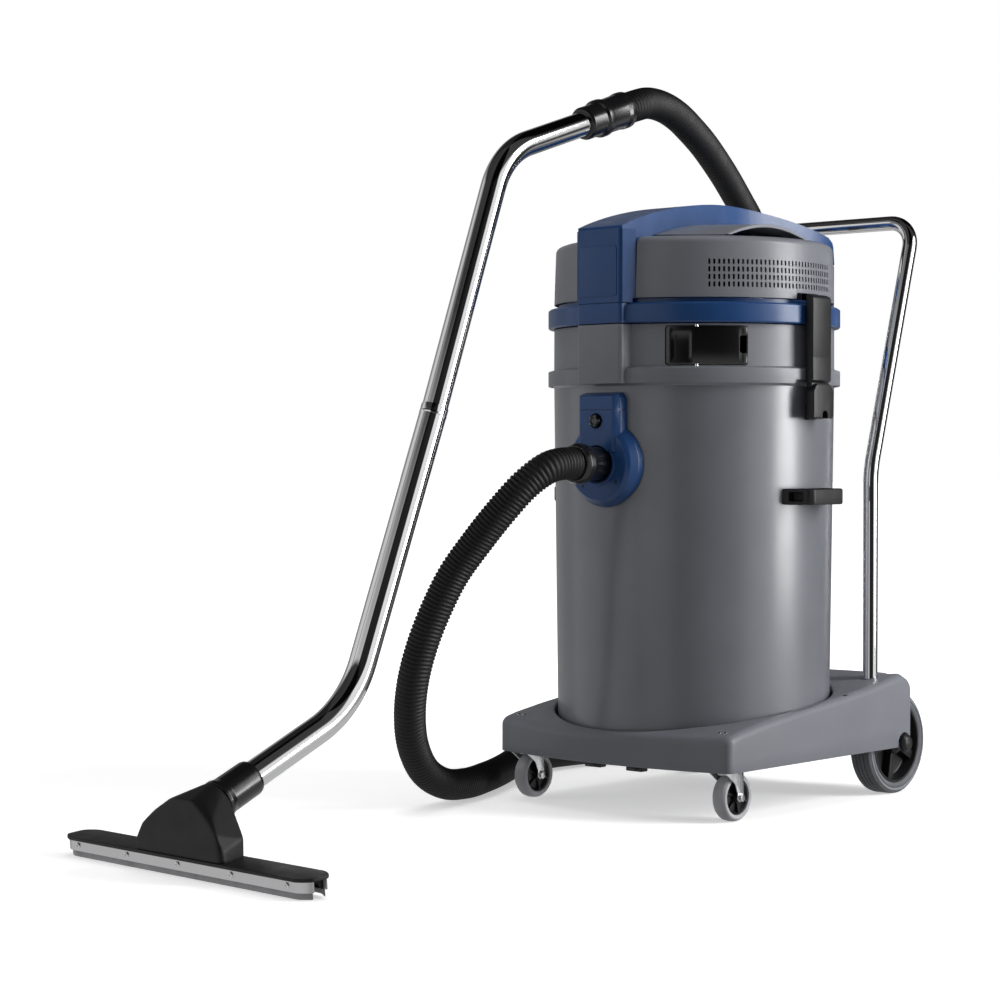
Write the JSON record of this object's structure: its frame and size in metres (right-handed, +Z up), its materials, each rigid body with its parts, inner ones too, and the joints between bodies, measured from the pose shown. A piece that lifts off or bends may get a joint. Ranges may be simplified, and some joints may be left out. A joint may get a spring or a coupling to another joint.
{
  "type": "wet and dry shop vacuum",
  "caption": "Wheeled wet and dry shop vacuum with a grey drum, latched blue and grey head, push handle, ribbed hose and chrome wand with floor squeegee.",
  "frame": {"origin": "on the floor, at the middle of the footprint of the machine and its floor tool together, the hose left out", "axes": "+Z up, -Y towards the hose inlet and the floor tool, +Y towards the push handle, +X the side of the collar that holds the flap valve"},
  "size_m": [0.6996, 1.5296, 1.1405],
  "materials": {
    "grey_plastic": "satin moulded plastic, mid grey",
    "tank_plastic": "satin moulded plastic, mid grey, slightly orange-peeled",
    "blue_plastic": "satin moulded plastic, dark blue",
    "black_plastic": "fine-textured black plastic",
    "flap_black": "polished black plastic",
    "hose_black": "ribbed flexible black plastic",
    "chrome": "polished chrome plate on steel tube",
    "steel": "zinc-plated steel",
    "strip_aluminium": "mill-finish aluminium",
    "caster_tread": "grey solid rubber",
    "rear_tread": "dark solid rubber",
    "blade_rubber": "grey squeegee rubber",
    "filter_cloth": "needle-felt filter",
    "float_white": "hollow white plastic",
    "motor_steel": "die-cast motor housing, hollow in the real machine"
  },
  "bodies": {
    "base": {"trolley_base": "grey_plastic", "caster_plate_right": "steel", "caster_plate_left": "steel", "rear_axle": "steel", "axle_cap_right": "black_plastic", "axle_cap_left": "black_plastic", "push_handle": "chrome", "tank": "tank_plastic", "side_handle_right": "black_plastic", "side_handle_left": "black_plastic", "inlet_housing": "blue_plastic", "hose_cuff_machine": "black_plastic", "latch_bracket_right": "black_plastic", "latch_bracket_left": "black_plastic", "hose": "hose_black", "hose_cuff_wand": "black_plastic", "wand_upper": "chrome", "wand_lower": "chrome", "nozzle_neck": "black_plastic", "nozzle_body": "black_plastic", "clamp_strip_front": "strip_aluminium", "clamp_strip_rear": "strip_aluminium", "tool_blade_front": "blade_rubber", "tool_blade_rear": "blade_rubber"},
    "collar": {"collar": "grey_plastic", "flap_pin": "steel", "filter": "filter_cloth"},
    "flap": {"flap_valve": "flap_black"},
    "head": {"head_band": "blue_plastic", "head_cover_right": "grey_plastic", "head_cover_left": "grey_plastic", "grip_right": "grey_plastic", "grip_left": "grey_plastic", "spine": "blue_plastic", "rear_block": "grey_plastic", "cable_gland": "black_plastic", "motor_plate": "black_plastic", "motor_right": "motor_steel", "motor_left": "motor_steel", "float_cage": "black_plastic"},
    "float": {"float_ball": "float_white"},
    "button": {"inlet_button": "black_plastic"},
    "switch_right": {"switch_right": "black_plastic"},
    "strap_right": {"latch_strap_right": "black_plastic"},
    "lever_right": {"latch_lever_right": "black_plastic"},
    "fork_right": {"caster_fork_right": "steel", "caster_axle_right": "steel"},
    "caster_wheel_right": {"caster_tyre_right": "caster_tread", "caster_hub_right": "black_plastic"},
    "rear_wheel_right": {"rear_tyre_right": "rear_tread", "rear_hub_right": "black_plastic"},
    "switch_left": {"switch_left": "black_plastic"},
    "strap_left": {"latch_strap_left": "black_plastic"},
    "lever_left": {"latch_lever_left": "black_plastic"},
    "fork_left": {"caster_fork_left": "steel", "caster_axle_left": "steel"},
    "caster_wheel_left": {"caster_tyre_left": "caster_tread", "caster_hub_left": "black_plastic"},
    "rear_wheel_left": {"rear_tyre_left": "rear_tread", "rear_hub_left": "black_plastic"}
  },
  "joints": [
    {"name": "collar_lift", "type": "slide", "parent": "base", "child": "collar", "axis": [0, 0, 1], "range_m": [0, 0.04]},
    {"name": "head_lift", "type": "slide", "parent": "collar", "child": "head", "axis": [0, 0, 1], "range_m": [0, 0.04]},
    {"name": "flap_turn", "type": "hinge", "parent": "collar", "child": "flap", "pos_m": [0.16265, 0.17461, 0.7228], "axis": [0, 0, -1], "range_deg": [0, 20], "stiffness_Nm_per_rad": 0.05},
    {"name": "float_rise", "type": "slide", "parent": "head", "child": "float", "axis": [0, 0, 1], "range_m": [0, 0.06]},
    {"name": "button_push", "type": "slide", "parent": "base", "child": "button", "axis": [0, 1, 0], "range_m": [0, 0.004], "stiffness_N_per_m": 300},
    {"name": "switch_rock_right", "type": "hinge", "parent": "head", "child": "switch_right", "pos_m": [0.05321, 0.63771, 0.8935], "axis": [1, 0, 0], "range_deg": [-7, 7]},
    {"name": "strap_swing_right", "type": "hinge", "parent": "base", "child": "strap_right", "pos_m": [0.26321, 0.34991, 0.62], "axis": [0, 1, 0], "range_deg": [0, 45]},
    {"name": "lever_swing_right", "type": "hinge", "parent": "strap_right", "child": "lever_right", "pos_m": [0.27521, 0.34991, 0.6665], "axis": [0, -1, 0], "range_deg": [0, 120]},
    {"name": "caster_swivel_right", "type": "hinge", "parent": "base", "child": "fork_right", "pos_m": [0.22271, 0.16391, 0.078], "axis": [0, 0, 1], "continuous": true},
    {"name": "caster_spin_right", "type": "hinge", "parent": "fork_right", "child": "caster_wheel_right", "pos_m": [0.22271, 0.18591, 0.0375], "axis": [1, 0, 0], "continuous": true},
    {"name": "rear_spin_right", "type": "hinge", "parent": "base", "child": "rear_wheel_right", "pos_m": [0.22121, 0.61591, 0.084], "axis": [1, 0, 0], "continuous": true},
    {"name": "switch_rock_left", "type": "hinge", "parent": "head", "child": "switch_left", "pos_m": [-0.00679, 0.63771, 0.8935], "axis": [1, 0, 0], "range_deg": [-7, 7]},
    {"name": "strap_swing_left", "type": "hinge", "parent": "base", "child": "strap_left", "pos_m": [-0.21679, 0.34991, 0.62], "axis": [0, -1, 0], "range_deg": [0, 45]},
    {"name": "lever_swing_left", "type": "hinge", "parent": "strap_left", "child": "lever_left", "pos_m": [-0.22879, 0.34991, 0.6665], "axis": [0, 1, 0], "range_deg": [0, 120]},
    {"name": "caster_swivel_left", "type": "hinge", "parent": "base", "child": "fork_left", "pos_m": [-0.17629, 0.16391, 0.078], "axis": [0, 0, 1], "continuous": true},
    {"name": "caster_spin_left", "type": "hinge", "parent": "fork_left", "child": "caster_wheel_left", "pos_m": [-0.17629, 0.18591, 0.0375], "axis": [1, 0, 0], "continuous": true},
    {"name": "rear_spin_left", "type": "hinge", "parent": "base", "child": "rear_wheel_left", "pos_m": [-0.17479, 0.61591, 0.084], "axis": [1, 0, 0], "continuous": true}
  ]
}
